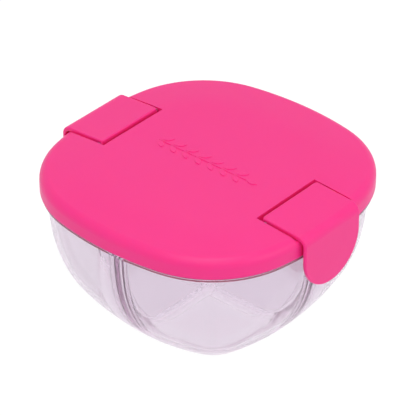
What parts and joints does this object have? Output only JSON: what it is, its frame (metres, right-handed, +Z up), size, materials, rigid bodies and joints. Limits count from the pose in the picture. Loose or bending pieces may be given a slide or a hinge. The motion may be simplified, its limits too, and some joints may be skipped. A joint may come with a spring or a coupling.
{
  "type": "compartment lunch box",
  "caption": "Clear rounded-square lunch bowl with moulded compartments and a pink lid held by hinged snap latches on opposite sides.",
  "frame": {"origin": "middle of the bowl's underside, on the surface that the box stands on", "axes": "+Z up, +X towards the right latch, -Y towards the front"},
  "size_m": [0.187, 0.1814, 0.0972],
  "materials": {
    "clear_plastic": "gloss",
    "pink_plastic": "satin",
    "silicone": "matte",
    "steel": "satin"
  },
  "bodies": {
    "bowl": {"bowl": "clear_plastic"},
    "lid": {"lid_cover": "pink_plastic", "lid_liner": "pink_plastic", "rim_gasket": "silicone", "divider_seal": "silicone", "hinge_pin_right_front": "steel", "hinge_pin_right_rear": "steel", "hinge_pin_left_front": "steel", "hinge_pin_left_rear": "steel"},
    "latch_right": {"latch_right": "pink_plastic"},
    "latch_left": {"latch_left": "pink_plastic"}
  },
  "joints": [
    {"name": "lid_lift", "type": "slide", "parent": "bowl", "child": "lid", "axis": [0, 0, 1], "range_m": [0, 0.1]},
    {"name": "latch_right_turn", "type": "hinge", "parent": "lid", "child": "latch_right", "pos_m": [0.0638, 0, 0.0938], "axis": [0, -1, 0], "range_deg": [0, 105]},
    {"name": "latch_left_turn", "type": "hinge", "parent": "lid", "child": "latch_left", "pos_m": [-0.0638, 0, 0.0938], "axis": [0, 1, 0], "range_deg": [0, 105]}
  ]
}
